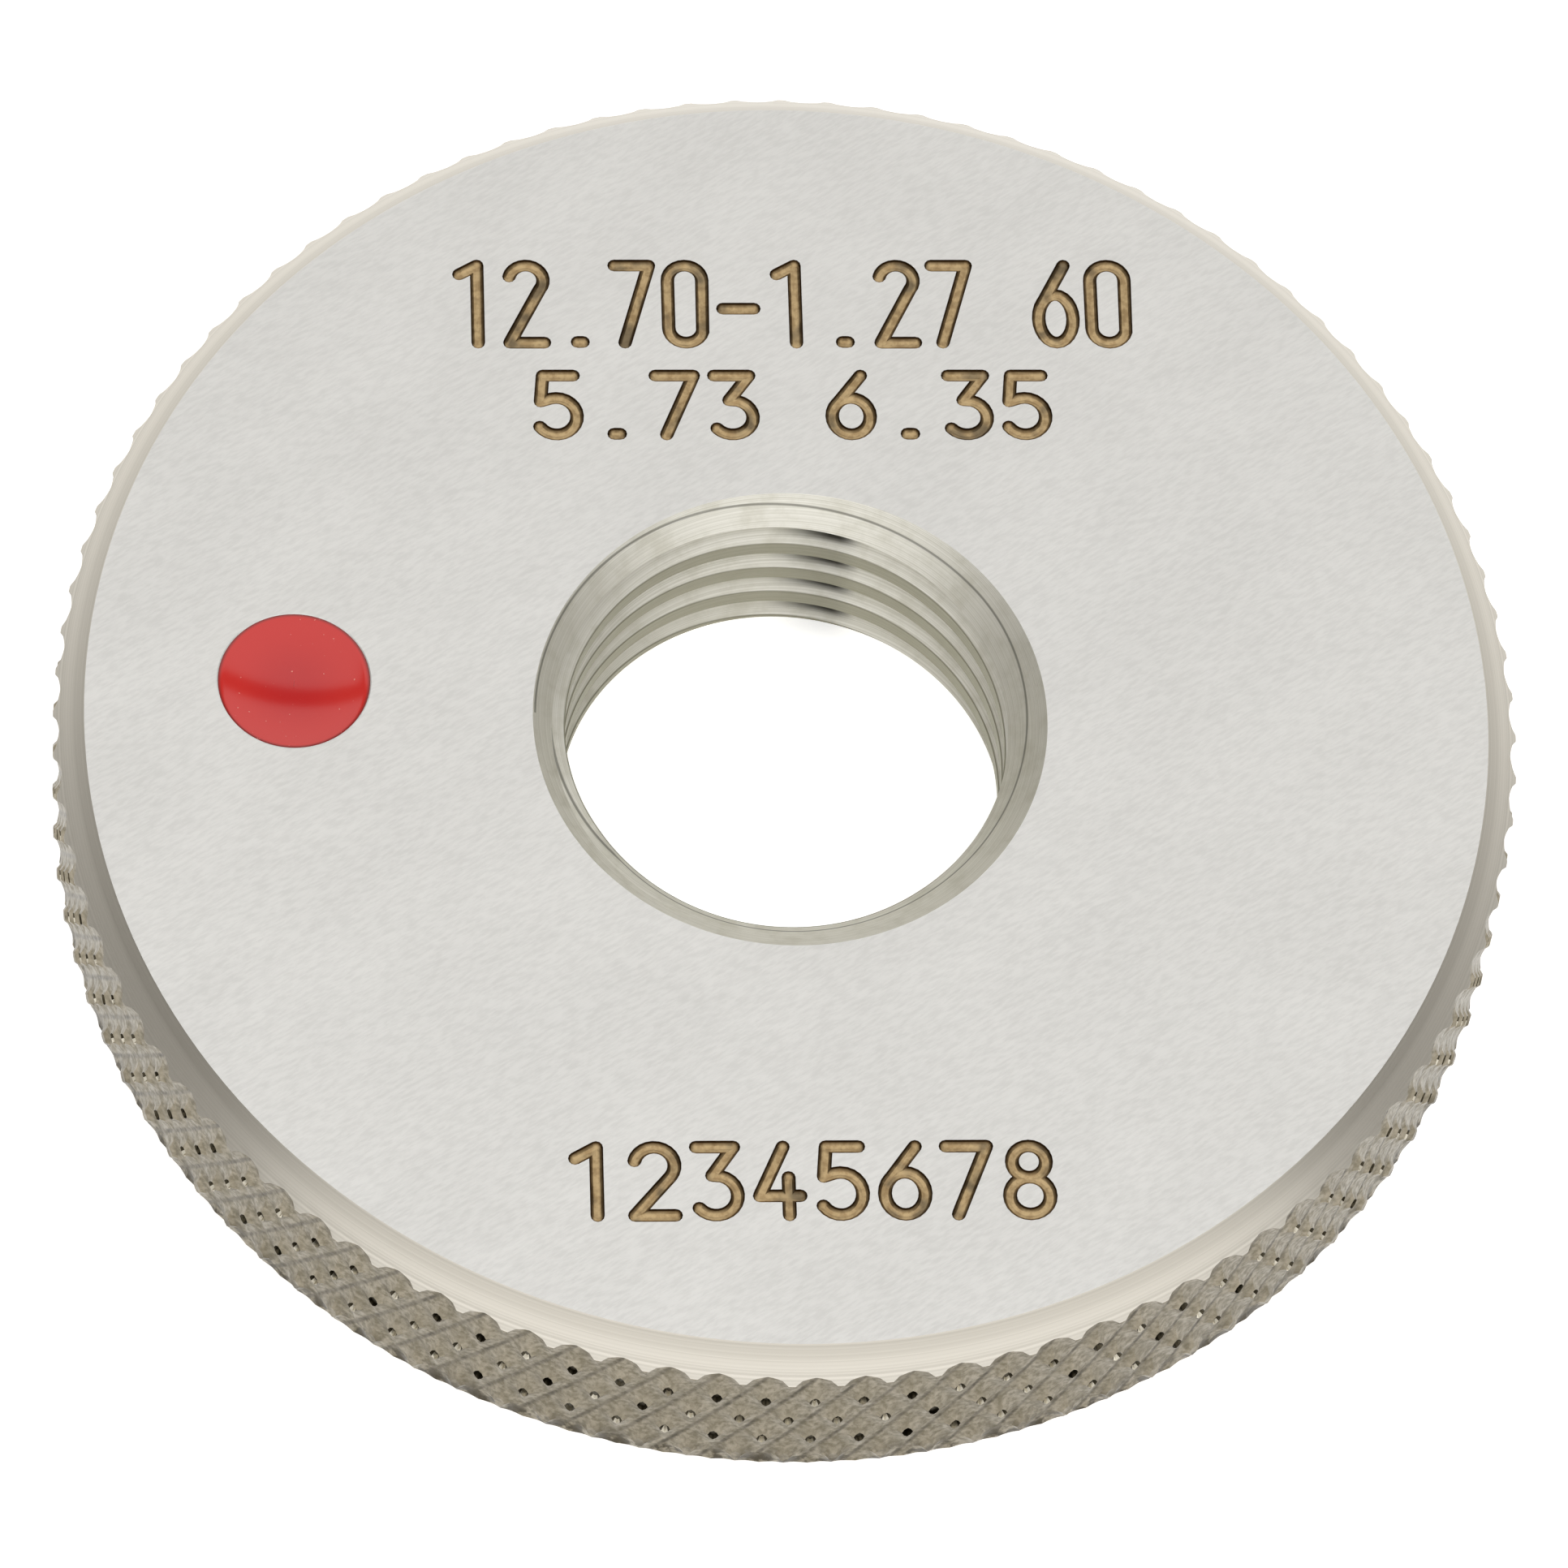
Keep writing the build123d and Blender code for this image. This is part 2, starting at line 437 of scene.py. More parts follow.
def dimple_cutter(finish):
    """The shallow spherical dimple, as a lens that stands above the face."""
    sphere = sphere_radius(DIMPLE_RADIUS, DIMPLE_DEPTH)
    middle = RING_HEIGHT - DIMPLE_DEPTH + sphere
    steps = 14
    outline = []
    for k in range(steps + 1):
        tilt = OFF_AXIS + asin((DIMPLE_RADIUS + DIMPLE_SPARE) / sphere) * k / steps
        outline.append((sphere * sin(tilt), middle - sphere * cos(tilt)))
    outline.append((OFF_AXIS, outline[-1][1]))
    return lathe("dimple_cutter", outline, LENS_STEPS, finish, DIMPLE_PLACE)


def ring_core(face_finish, bore_finish, engraved_finish):
    """The faces and the bore, inside the rim: a disc with everything cut into it."""
    outline = [(THREAD_MINOR, 0), (FACE_RADIUS, 0), (FACE_RADIUS, RING_HEIGHT),
               (THREAD_MINOR, RING_HEIGHT)]
    disc = lathe("disc", outline, ROUND_STEPS, face_finish, first_angle=KNURL_TURN)
    for cutter in (thread_cutter(bore_finish),
                   mouth_cutter(RING_HEIGHT, -1, UPPER_MOUTH_OFFSET, bore_finish),
                   mouth_cutter(0.0, 1, (0.0, 0.0), bore_finish),
                   dimple_cutter(face_finish)):
        disc = carve(disc, cutter)
    paths = figure_paths()
    bars = run_tree(bpy.data.meshes.new("bars"), engraving_tree(), {
        "Width": STROKE_WIDTH, "Depth": STROKE_DEPTH, "Paths": paths,
        "Material": engraved_finish})
    bpy.data.objects.remove(paths)
    return carve(disc, bars, self_crossing=True)


def ring_piece(finishes):
    """The whole ring as one mesh: its core and its rim, joined at the faces' edges."""
    core = ring_core(finishes["face"], finishes["bore"], finishes["engraved"])
    rim = knurled_rim(finishes["knurl"], finishes["chamfer"], finishes["crater"],
                      finishes["lip"])
    order = list(core.materials)
    mesh = bpy.data.meshes.new("gauge_ring_metal")
    shape = bmesh.new()
    shape.from_mesh(core)
    bore_slot = order.index(finishes["bore"])
    wall = []
    for face in shape.faces:
        middle = face.calc_center_median()
        from_axis = hypot(middle.x, middle.y)
        if abs(face.normal.z) < 0.1 and from_axis > FACE_RADIUS - 0.2:
            wall.append(face)
        elif abs(face.normal.z) < 0.99 and from_axis < MOUTH_RADIUS:
            face.material_index = bore_slot
    bmesh.ops.delete(shape, geom=wall, context="FACES")
    for face in rim.polygons:
        face.material_index += len(order)
    shape.from_mesh(rim)
    bmesh.ops.remove_doubles(shape, verts=shape.verts, dist=SEAM)
    bmesh.ops.recalc_face_normals(shape, faces=shape.faces)
    bmesh.ops.scale(shape, vec=Vector((MM, MM, MM)), verts=shape.verts)
    for face in shape.faces:
        face.smooth = True
    for edge in shape.edges:
        kinds = {face.material_index for face in edge.link_faces}
        edge.smooth = len(kinds) == 1 and edge.calc_face_angle(0.0) < SHARP_ANGLE
    shape.to_mesh(mesh)
    shape.free()
    for finish in order + list(rim.materials):
        mesh.materials.append(finish)
    return new_object("gauge_ring_metal", mesh)


def lacquer_piece(finish):
    """Red lacquer in the dimple: its hollow upper surface down to the dimple's floor."""
    floor = RING_HEIGHT - DIMPLE_DEPTH
    sphere = sphere_radius(DIMPLE_RADIUS, DIMPLE_DEPTH)
    brim = LACQUER_RADIUS - LACQUER_LIP
    hollow = sphere_radius(brim, LACQUER_HOLLOW)
    low = floor + sphere - sqrt(sphere ** 2 - LACQUER_RADIUS ** 2) - LACQUER_HOLLOW
    steps = 18
    outline = []
    for k in range(steps + 1):
        tilt = OFF_AXIS / 2 + asin(LACQUER_RADIUS / sphere) * k / steps
        outline.append((sphere * sin(tilt), floor + sphere - sphere * cos(tilt)))
    for k in reversed(range(steps + 1)):
        tilt = OFF_AXIS / 2 + asin(brim / hollow) * k / steps
        outline.append((hollow * sin(tilt), low + hollow - hollow * cos(tilt)))
    mesh = lathe("lacquer", outline, LENS_STEPS, finish, DIMPLE_PLACE)
    mesh.transform(Matrix.Scale(MM, 4))
    mesh.shade_smooth()
    mesh.set_sharp_from_angle(angle=LACQUER_SHARP_ANGLE)
    return new_object("lacquer_drop", mesh)


# ---------------------------------------------------------------- engraved figures

def bow(cx, cy, rx, ry, start, end):
    """Points along an ellipse's arc, in degrees."""
    steps = max(3, ceil(abs(end - start) / 15))
    points = []
    for k in range(steps + 1):
        angle = radians(start + (end - start) * k / steps)
        points.append((cx + rx * cos(angle), cy + ry * sin(angle)))
    return points


def figure_strokes(sign, w, h):
    """Strokes of one figure, w wide and h high. A stroke ends at each sharp corner."""
    r = w / 2
    if sign == "0":
        return [bow(r, h - r, r, r, 180, 0) + bow(r, r, r, r, 0, -180)[1:-1]
                + [(0, r), (0, h - r)]]
    if sign == "1":
        return [[(0.1 * w, h - 0.3 * w), (0.62 * w, h)],
                [(0.62 * w, h), (0.62 * w, 0)]]
    if sign == "2":
        top = bow(r, h - r, r, r, 165, -38)
        return [top, [top[-1], (0, 0)], [(0, 0), (w, 0)]]
    if sign == "3":
        return [[(0, h), (0.92 * w, h)], [(0.92 * w, h), (0.38 * w, 0.58 * h)],
                [(0.38 * w, 0.58 * h)]
                + bow(0.46 * w, 0.29 * h, 0.54 * w, 0.29 * h, 75, -140)]
    if sign == "4":
        return [[(0.6 * w, h), (0, 0.28 * h)], [(0, 0.28 * h), (w, 0.28 * h)],
                [(0.72 * w, 0.55 * h), (0.72 * w, 0)]]
    if sign == "5":
        return [[(0.92 * w, h), (0.12 * w, h)], [(0.12 * w, h), (0.05 * w, 0.56 * h)],
                [(0.05 * w, 0.56 * h)]
                + bow(0.46 * w, 0.31 * h, 0.54 * w, 0.31 * h, 105, -145)]
    if sign == "6":
        return [[(0.78 * w, h)] + bow(r, 0.31 * h, r, 0.31 * h, 150, 510)]
    if sign == "7":
        return [[(0, h), (w, h)], [(w, h), (0.26 * w, 0)]]
    if sign == "8":
        return [bow(r, 0.77 * h, 0.42 * w, 0.23 * h, -90, 270),
                bow(r, 0.27 * h, r, 0.27 * h, 90, 450)]
    if sign == "-":
        return [[(0.05 * w, 0.44 * h), (0.95 * w, 0.44 * h)]]
    if sign == ".":
        return [[(0.42 * w, 0.02), (0.58 * w, 0.02)]]
    return []


def figure_paths():
    """Curve object with every stroke of every line, as it lies on the upper face."""
    paths = bpy.data.curves.new("figure_paths", "CURVE")
    paths.dimensions = "3D"
    for text, left, foot, right, height in FIGURE_LINES:
        pace = (right - left) / (len(text) - 1 + FIGURE_SHARE)
        width = FIGURE_SHARE * pace
        for k, sign in enumerate(text):
            for stroke in figure_strokes(sign, width, height):
                spline = paths.splines.new("POLY")
                spline.points.add(len(stroke) - 1)
                for point, (x, y) in zip(spline.points, stroke):
                    point.co = (left + k * pace + x, foot + y, RING_HEIGHT, 1.0)
    return new_object("figure_paths", paths)


def engraving_tree():
    """Each path becomes a round-bottomed bar with ball ends, ready to be cut away."""
    tree, entry, leave = new_tree("engraving", (
        ("Width", "NodeSocketFloat"), ("Depth", "NodeSocketFloat"),
        ("Paths", "NodeSocketObject"), ("Material", "NodeSocketMaterial")))
    paths = add_node(tree, "GeometryNodeObjectInfo", {"Object": entry.outputs["Paths"]})
    upright = add_node(tree, "GeometryNodeSetCurveNormal",
                       {"Curve": paths.outputs["Geometry"]}, mode="Z_UP")
    half = add_node(tree, "ShaderNodeMath",
                    {0: entry.outputs["Width"], 1: 0.5}, operation="MULTIPLY")
    ring = add_node(tree, "GeometryNodeCurvePrimitiveCircle",
                    {"Resolution": STROKE_SIDES, "Radius": 1.0})
    squash = add_node(tree, "ShaderNodeCombineXYZ",
                      {"X": half.outputs[0], "Y": entry.outputs["Depth"], "Z": 1.0})
    section = add_node(tree, "GeometryNodeTransform",
                       {"Geometry": ring.outputs["Curve"], "Scale": squash.outputs[0]})
    bar = add_node(tree, "GeometryNodeCurveToMesh", {
        "Curve": upright.outputs["Curve"], "Profile Curve": section.outputs["Geometry"],
        "Fill Caps": True})
    ball = add_node(tree, "GeometryNodeMeshUVSphere",
                    {"Segments": STROKE_SIDES, "Rings": 8, "Radius": 1.0})
    low = add_node(tree, "ShaderNodeCombineXYZ", {
        "X": half.outputs[0], "Y": half.outputs[0], "Z": entry.outputs["Depth"]})
    ends = add_node(tree, "GeometryNodeCurveEndpointSelection",
                    {"Start Size": 1, "End Size": 1})
    balls = add_node(tree, "GeometryNodeInstanceOnPoints", {
        "Points": upright.outputs["Curve"], "Selection": ends.outputs[0],
        "Instance": ball.outputs["Mesh"], "Scale": low.outputs[0]})
    both = add_node(tree, "GeometryNodeJoinGeometry")
    tree.links.new(bar.outputs["Mesh"], both.inputs[0])
    tree.links.new(balls.outputs["Instances"], both.inputs[0])
    solid = add_node(tree, "GeometryNodeRealizeInstances", {"Geometry": both.outputs[0]})
    coat = add_node(tree, "GeometryNodeSetMaterial", {
        "Geometry": solid.outputs[0], "Material": entry.outputs["Material"]})
    tree.links.new(coat.outputs[0], leave.inputs[0])
    return tree


# ---------------------------------------------------------------- finishes
# Patterns read Object coordinates, which are metres, so their scales are per metre.

def linear(code):
    """Linear RGBA of an sRGB hex colour."""
    channels = []
    for k in (0, 2, 4):
        value = int(code[k:k + 2], 16) / 255
        low = value / 12.92
        channels.append(low if value <= 0.04045 else ((value + 0.055) / 1.055) ** 2.4)
    return (*channels, 1.0)


def new_finish(name, **sockets):
    """A material with its Principled shader, and the place that its patterns read."""
    finish = bpy.data.materials.new(name)
    finish.use_nodes = True
    tree = finish.node_tree
    shader = tree.nodes["Principled BSDF"]
    for label, value in sockets.items():
        shader.inputs[label].default_value = value
    return finish, tree, shader, add_node(tree, "ShaderNodeTexCoord").outputs["Object"]


def polar_place(tree, place):
    """Radius in metres, height in metres and angle in radians of the shaded point."""
    part = add_node(tree, "ShaderNodeSeparateXYZ", {0: place}).outputs
    flat = add_node(tree, "ShaderNodeCombineXYZ", {0: part[0], 1: part[1]})
    radius = add_node(tree, "ShaderNodeVectorMath", {0: flat.outputs[0]},
                      operation="LENGTH")
    angle = add_node(tree, "ShaderNodeMath", {0: part[1], 1: part[0]},
                     operation="ARCTAN2")
    return radius.outputs["Value"], part[2], angle.outputs[0]


def grain(tree, place, grain_mm, stretch=1.0, turn=0.0, detail=3.0):
    """Noise with grains of a real size, drawn out along a line turned from +X."""
    lay = add_node(tree, "ShaderNodeMapping", {
        "Vector": place, "Rotation": (0.0, 0.0, -radians(turn))})
    size = 1 / (grain_mm * MM)
    spread = add_node(tree, "ShaderNodeVectorMath", {
        0: lay.outputs[0], 1: (size / stretch, size, size)}, operation="MULTIPLY")
    return add_node(tree, "ShaderNodeTexNoise", {
        "Vector": spread.outputs[0], "Scale": 1.0, "Detail": detail,
        "Roughness": 0.6}).outputs["Fac"]


def mask(tree, *steps):
    """Product of steps, in each of which a value's range is taken to another, smoothly.

    A step is (value, low, high), which goes from 0 to 1 between low and high, or
    (value, low, high, start, end).
    """
    product = None
    for value, low, high, *ends in steps:
        start, end = ends or (0.0, 1.0)
        share = add_node(tree, "ShaderNodeMapRange", {
            "Value": value, "From Min": low, "From Max": high, "To Min": start,
            "To Max": end}, interpolation_type="SMOOTHSTEP").outputs["Result"]
        if product is not None:
            share = add_node(tree, "ShaderNodeMath", {0: product, 1: share},
                             operation="MULTIPLY").outputs[0]
        product = share
    return product


def layer(tree, under, over, *steps):
    """A colour laid over another through a mask, each a hex code or a socket."""
    under, over = (linear(c) if isinstance(c, str) else c for c in (under, over))
    return add_node(tree, "ShaderNodeMix", {
        0: mask(tree, *steps), 6: under, 7: over}, data_type="RGBA").outputs[2]


def dress(tree, shader, tone, pattern, roughness, relief=None):
    """Gives a shader its colour, and lets one pattern set its roughness and relief.

    The roughness is the rest of a mask's step. The relief is how many millimetres high
    the pattern stands, and its strength.
    """
    tree.links.new(tone, shader.inputs["Base Color"])
    tree.links.new(mask(tree, (pattern, *roughness)), shader.inputs["Roughness"])
    if relief:
        bump = add_node(tree, "ShaderNodeBump", {
            "Height": pattern, "Distance": relief[0] * MM, "Strength": relief[1]})
        tree.links.new(bump.outputs[0], shader.inputs["Normal"])


def ground_face():
    """Hardened tool steel, surface ground and then lapped by hand.

    It looks pale, even and silky, with short faint scratches that lie one way.
    """
    finish, tree, shader, place = new_finish("tool_steel_ground_lapped", Metallic=1.0)
    scratches = grain(tree, place, 0.085, stretch=5.0, turn=33.0)
    fainter = grain(tree, place, 0.15, stretch=3.0, turn=20.0)
    clouds = grain(tree, place, 2.6, stretch=1.6, turn=30.0, detail=4.0)
    faint = add_node(tree, "ShaderNodeMath", {0: fainter, 1: 0.4}, operation="MULTIPLY")
    lines = add_node(tree, "ShaderNodeMath", {
        0: scratches, 1: 0.6, 2: faint.outputs[0]}, operation="MULTIPLY_ADD").outputs[0]
    tone = layer(tree, "CDCCC9", "DAD9D6", (lines, 0.36, 0.62))
    patch = layer(tree, "D0CFCC", "DAD9D6", (clouds, 0.35, 0.7))
    both = add_node(tree, "ShaderNodeMix", {0: 0.35, 6: tone, 7: patch},
                    data_type="RGBA").outputs[2]
    dress(tree, shader, both, lines, (0.3, 0.7, 0.45, 0.39), relief=(0.003, 0.16))
    return finish


def turned_chamfer():
    """The same steel, turned to 45 degrees and left as it came from the lathe.

    It looks satin, with fine rings, and its inner half is a little darker and greyer.
    """
    finish, tree, shader, place = new_finish("tool_steel_turned_satin", Metallic=1.0)
    radius = polar_place(tree, place)[0]
    rings = add_node(tree, "ShaderNodeTexNoise", {
        "W": radius, "Scale": 1 / (0.05 * MM), "Detail": 2.0},
        noise_dimensions="1D").outputs["Fac"]
    tone = layer(tree, "BFBAB0", "CDC8BE",
                 (radius, (FACE_RADIUS + 0.20) * MM, (FACE_RADIUS + 0.36) * MM))
    tone = layer(tree, tone, "A6A297", (rings, 0.3, 0.7, 0.0, 0.30))
    dress(tree, shader, tone, rings, (0.3, 0.7, 0.34, 0.40), relief=(0.004, 0.3))
    return finish


def rolled_knurl(name, dull, bright):
    """The same steel, rolled to a diamond knurl and left unground.

    It looks brown-grey and mottled, rough in the grooves and burnished on the tips.
    Painted shade darkens, in patches, the grooves that rise to the right and the knurl's
    foot.
    """
    finish, tree, shader, place = new_finish(name, Metallic=1.0)
    radius, height, angle = polar_place(tree, place)
    mottle = grain(tree, place, 0.16, detail=4.0)
    smears = grain(tree, place, 0.5)
    tone = layer(tree, dull, bright, (mottle, 0.3, 0.7))
    tone = layer(tree, tone, dull, (smears, 0.4, 0.7, 0.0, 0.5))
    tone = layer(tree, tone, bright,
                 (radius, (KNURL_RADIUS - KNURL_GROOVE) * MM,
                  (KNURL_RADIUS - 0.05) * MM, 0.0, 0.35))

    # Grooves of one hand: their number at a point, and how far the point is from one.
    rise = 2 * pi * KNURL_RADIUS / KNURL_COUNT / tan(KNURL_LEAN) * MM
    start = KNURL_TURN * KNURL_COUNT / 360 - (RING_HEIGHT - KNURL_ROW_DROP) * MM / rise
    level = add_node(tree, "ShaderNodeMath", {
        0: angle, 1: KNURL_COUNT / (2 * pi), 2: -start}, operation="MULTIPLY_ADD")
    number = add_node(tree, "ShaderNodeMath", {
        0: height, 1: -1 / rise, 2: level.outputs[0]}, operation="MULTIPLY_ADD")
    groove = add_node(tree, "ShaderNodeMath", {0: number.outputs[0], 1: 0.5},
                      operation="PINGPONG").outputs[0]
    # Painted shade along the grooves of one hand and at the knurl's foot, made patchy by
    # the smears noise.
    groove_shade = mask(tree, (smears, 0.3, 0.6, 0.85, 0.35), (groove, 0.015, 0.10, 1.0, 0.0))
    foot = mask(tree, (smears, 0.45, 0.56), (height, 0.8 * MM, 1.7 * MM, 0.85, 0.0))
    painted_shade = add_node(tree, "ShaderNodeMath", {0: groove_shade, 1: foot}, operation="MAXIMUM")
    tone = add_node(tree, "ShaderNodeMix", {
        0: painted_shade.outputs[0], 6: tone, 7: linear("3B3426")}, data_type="RGBA").outputs[2]
    dress(tree, shader, tone, mottle, (0.3, 0.7, 0.44, 0.30), relief=(0.012, 0.4))
    return finish


def turned_bore():
    """The same steel in the countersinks and the thread, turned and ground.

    It looks pale and faintly streaked along its turns. The crests of the thread are
    olive grey, a fine dark line winds up the countersink where the first turn runs
    out, and the turns carry a short dark smear of oil.
    """
    finish, tree, shader, place = new_finish("tool_steel_turned_bore", Metallic=1.0)
    radius, height, angle = polar_place(tree, place)
    along = add_node(tree, "ShaderNodeMath", {0: radius, 1: height}, operation="ADD")
    rings = add_node(tree, "ShaderNodeTexNoise", {
        "W": along.outputs[0], "Scale": 1 / (0.06 * MM), "Detail": 2.0},
        noise_dimensions="1D").outputs["Fac"]
    clouds = grain(tree, place, 0.7, detail=4.0)
    tone = layer(tree, "E2E0D6", "F0EEE6", (rings, 0.35, 0.65))
    tone = layer(tree, tone, "CCC9BA", (clouds, 0.4, 0.75, 0.0, 0.5))
    tone = layer(tree, tone, "8B8873",
                 (radius, (THREAD_MINOR + 0.015) * MM, (THREAD_MINOR + 0.05) * MM,
                  0.85, 0.0))

    # The dark line: its drop below the face by angle, and the point's distance to it.
    drop = add_node(tree, "ShaderNodeMath", {
        0: height, 1: -1 / MM, 2: RING_HEIGHT}, operation="MULTIPLY_ADD").outputs[0]
    winding = mask(tree, (angle, radians(-68), radians(38), 0.85, 0.33))
    early = mask(tree, (angle, radians(38), radians(150), 0.0, 0.27))
    line = add_node(tree, "ShaderNodeMath", {0: winding, 1: early},
                    operation="SUBTRACT")
    gap = add_node(tree, "ShaderNodeMath", {0: drop, 1: line.outputs[0]},
                   operation="SUBTRACT")
    near = add_node(tree, "ShaderNodeMath", {0: gap.outputs[0]}, operation="ABSOLUTE")
    tone = layer(tree, tone, "66645A", (near.outputs[0], 0.010, 0.035, 0.65, 0.0))
    tone = layer(tree, tone, "26241D",
                 (angle, radians(68), radians(75)),
                 (angle, radians(76), radians(94), 1.0, 0.0),
                 (radius, (THREAD_MEAN - 0.02) * MM, (THREAD_MEAN + 0.2) * MM,
                  0.15, 0.95),
                 (drop, 0.75, 0.9))
    dress(tree, shader, tone, rings, (0.3, 0.7, 0.60, 0.52), relief=(0.003, 0.2))
    return finish


def burnt_engraving():
    """Figures cut by a round-nosed engraving point, and left tinted by its heat.

    They look bronze along the floor, and dark brown up the walls.
    """
    finish, tree, shader, place = new_finish("tool_steel_heat_tinted", Metallic=1.0)
    height = add_node(tree, "ShaderNodeSeparateXYZ", {0: place}).outputs["Z"]
    mottle = grain(tree, place, 0.2)
    burns = grain(tree, place, 1.1, detail=2.0)
    tone = layer(tree, "9C8460", "BCA47C", (mottle, 0.35, 0.65))
    tone = layer(tree, tone, "5E5546", (burns, 0.52, 0.68, 0.0, 0.75))
    tone = layer(tree, tone, "46341F",
                 (height, (RING_HEIGHT - 0.92 * STROKE_DEPTH) * MM,
                  (RING_HEIGHT - 0.40 * STROKE_DEPTH) * MM))
    dress(tree, shader, tone, mottle, (0.3, 0.7, 0.34, 0.46))
    return finish


def red_lacquer():
    """Clear red enamel lacquer, pooled in the bare dimple.

    It looks glossy, deeper in the middle, with a few specks of dust in it.
    """
    finish, tree, shader, place = new_finish("red_enamel_lacquer", IOR=1.56)
    flat = add_node(tree, "ShaderNodeMapping", {
        "Vector": place, "Scale": (1, 1, 0),
        "Location": (-DIMPLE_PLACE[0] * MM, -DIMPLE_PLACE[1] * MM, 0)})
    reach = add_node(tree, "ShaderNodeVectorMath", {0: flat.outputs[0]},
                     operation="LENGTH").outputs["Value"]
    specks = mask(tree, (grain(tree, place, 0.12, detail=1.0), 0.74, 0.8))
    tone = layer(tree, "CE2119", "C01413", (reach, 0.2 * MM, 1.7 * MM, 1.0, 0.0))
    tone = layer(tree, tone, "7A1612",
                 (reach, (LACQUER_RADIUS - 0.10) * MM, LACQUER_RADIUS * MM))
    tone = add_node(tree, "ShaderNodeMix", {0: specks, 6: tone, 7: linear("E08A7C")},
                    data_type="RGBA").outputs[2]
    dress(tree, shader, tone, specks, (0.0, 1.0, 0.15, 0.30))
    return finish


# ---------------------------------------------------------------- object

finishes = {
    "face": ground_face(),
    "chamfer": turned_chamfer(),
    "knurl": rolled_knurl("tool_steel_rolled_knurl", "706957", "989080"),
    # A darker copy of the knurl, for painted shade in the craters.
    "crater": rolled_knurl("tool_steel_knurl_crater_painted_shade", "2E2A20", "4A4436"),
    # A brighter copy of the knurl, for a painted highlight on the craters' lower lips.
    "lip": rolled_knurl("tool_steel_knurl_lip_painted_highlight", "A8A191", "D8D2C2"),
    "bore": turned_bore(),
    "engraved": burnt_engraving(),
}
ring = ring_piece(finishes)
lacquer = lacquer_piece(red_lacquer())
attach(ring, "root")
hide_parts("gauge_ring")
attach(lacquer, "root")
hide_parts("red_mark")

# ---------------------------------------------------------------- camera, light and floor

CAMERA_AZIMUTH = -96.996     # degrees from +X, where the camera stands
CAMERA_RISE = 61.447         # degrees above the horizon
CAMERA_ROLL = 6.038          # degrees
CAMERA_DISTANCE = 331.01     # along the view, from the upper face's middle
CAMERA_ASIDE = (0.101, 1.887)  # of the upper face's middle, right and up in the view
CAMERA_LENS = 293.97
CAMERA_SENSOR = 36.0
BOX_DISTANCE = 450.0         # of every soft box
ROOM_COLOUR = "8C8A86"
TABLE_COLOUR = "F4F4F4"
TABLE_GLOW = 0.58
TABLE_HALF = 0.6             # metres


def add_camera():
    """Camera at a long lens, placed from its angles, its distance and its aim."""
    azimuth, rise, roll = map(radians, (CAMERA_AZIMUTH, CAMERA_RISE, CAMERA_ROLL))
    back = Vector((cos(azimuth) * cos(rise), sin(azimuth) * cos(rise), sin(rise)))
    right = Vector((-sin(azimuth), cos(azimuth), 0.0))
    up = back.cross(right)
    across = cos(roll) * right + sin(roll) * up
    along = -sin(roll) * right + cos(roll) * up
    place = Vector((0, 0, RING_HEIGHT)) + CAMERA_DISTANCE * back
    place -= CAMERA_ASIDE[0] * across + CAMERA_ASIDE[1] * along
    lens = bpy.data.cameras.new("camera")
    lens.lens = CAMERA_LENS
    lens.sensor_width = CAMERA_SENSOR
    lens.clip_start = 0.01
    camera = new_object("camera", lens)
    turn = Matrix((across, along, back)).transposed().to_4x4()
    camera.matrix_world = Matrix.Translation(place * MM) @ turn
    bpy.context.scene.camera = camera


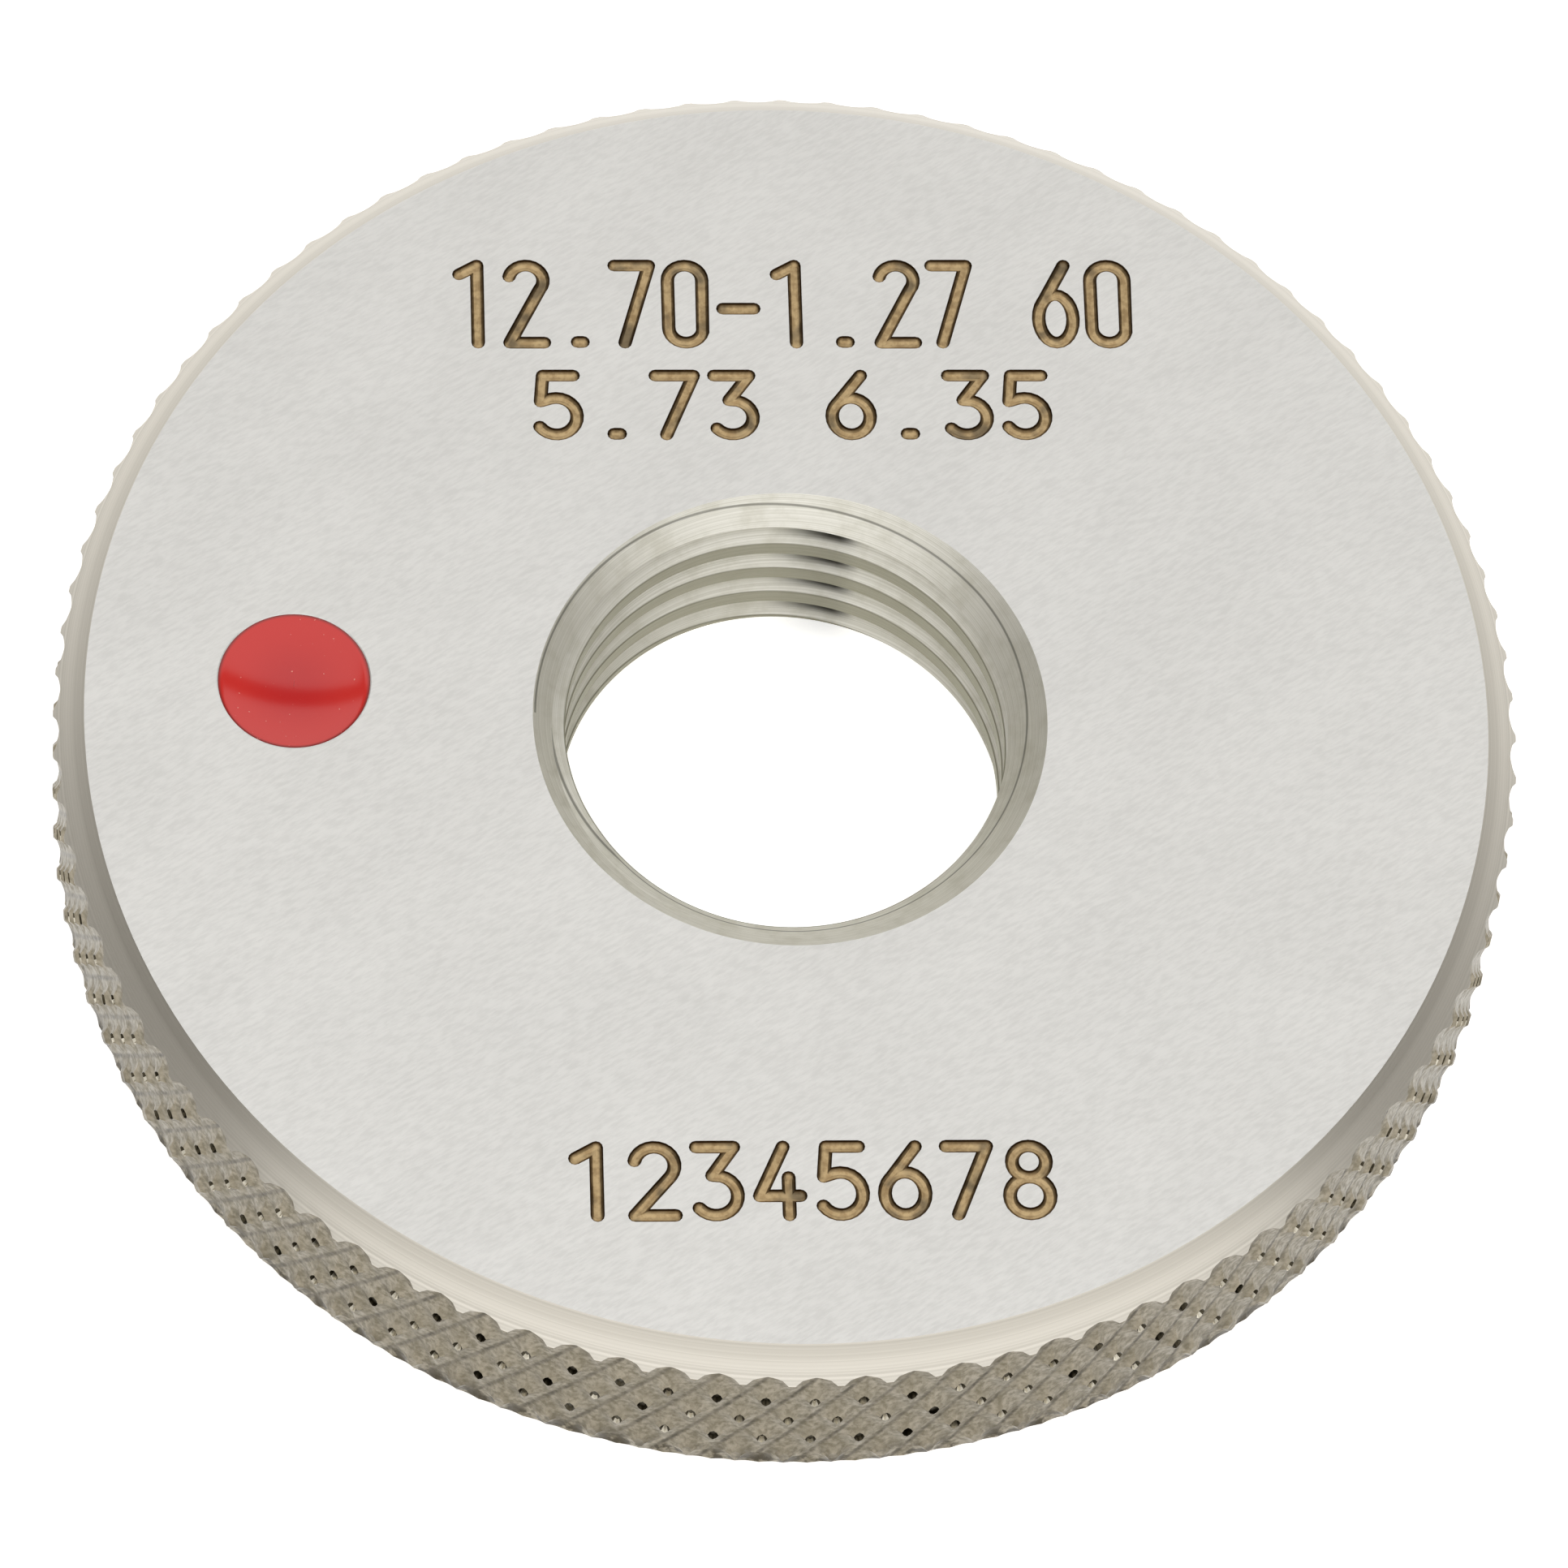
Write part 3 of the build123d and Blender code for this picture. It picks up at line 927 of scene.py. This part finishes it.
def add_soft_box(name, rise, azimuth, spread, width, glow):
    """A soft box aimed at the ring, lit to a plain radiance. Angles are in degrees."""
    up, round_z = radians(rise), radians(azimuth)
    back = Vector((cos(round_z) * cos(up), sin(round_z) * cos(up), sin(up)))
    right = Vector((-sin(round_z), cos(round_z), 0.0))
    light = bpy.data.lights.new(name, "AREA")
    light.shape = "RECTANGLE"
    light.size = width * MM
    light.size_y = 2 * BOX_DISTANCE * tan(radians(spread)) * MM
    light.energy = glow * pi * light.size * light.size_y
    lamp = new_object(name, light)
    turn = Matrix((right, back.cross(right), back)).transposed().to_4x4()
    lamp.matrix_world = Matrix.Translation(back * BOX_DISTANCE * MM) @ turn
    lamp.visible_camera = False


def dim_room():
    """World: a dim warm grey room round the soft boxes."""
    world = bpy.data.worlds.new("dim_room")
    bpy.context.scene.world = world
    world.use_nodes = True
    paint = world.node_tree.nodes["Background"]
    paint.inputs["Color"].default_value = linear(ROOM_COLOUR)


def white_table():
    """Table under the ring: it looks white, and keeps the ring's shadow."""
    finish = bpy.data.materials.new("white_table")
    finish.use_nodes = True
    tree = finish.node_tree
    tree.nodes.clear()
    path = add_node(tree, "ShaderNodeLightPath")
    paint = add_node(tree, "ShaderNodeBsdfDiffuse", {"Color": linear(TABLE_COLOUR)})
    glow = add_node(tree, "ShaderNodeEmission", {
        "Color": (1, 1, 1, 1), "Strength": TABLE_GLOW})
    both = add_node(tree, "ShaderNodeAddShader", {
        0: paint.outputs[0], 1: glow.outputs[0]})
    seen = path.outputs["Is Camera Ray"]
    for ray in ("Is Glossy Ray", "Is Transmission Ray"):
        seen = add_node(tree, "ShaderNodeMath", {0: seen, 1: path.outputs[ray]},
                        operation="MAXIMUM").outputs[0]
    mix = add_node(tree, "ShaderNodeMixShader", {
        0: seen, 1: paint.outputs[0], 2: both.outputs[0]})
    add_node(tree, "ShaderNodeOutputMaterial", {"Surface": mix.outputs[0]})
    mesh = bpy.data.meshes.new("table")
    half = TABLE_HALF
    mesh.from_pydata([(-half, -half, 0), (half, -half, 0), (half, half, 0),
                      (-half, half, 0)], [], [(0, 1, 2, 3)])
    mesh.materials.append(finish)
    table = new_object("table", mesh)


add_camera()
dim_room()
white_table()
add_soft_box("overhead_box", 90, CAMERA_AZIMUTH, 29.5, 600, 1.12)
add_soft_box("back_box", 33, CAMERA_AZIMUTH + 180, 18, 700, 1.1)
add_soft_box("front_box", 30, CAMERA_AZIMUTH + 8, 15, 1600, 1.42)
bpy.context.scene.view_settings.view_transform = "Standard"
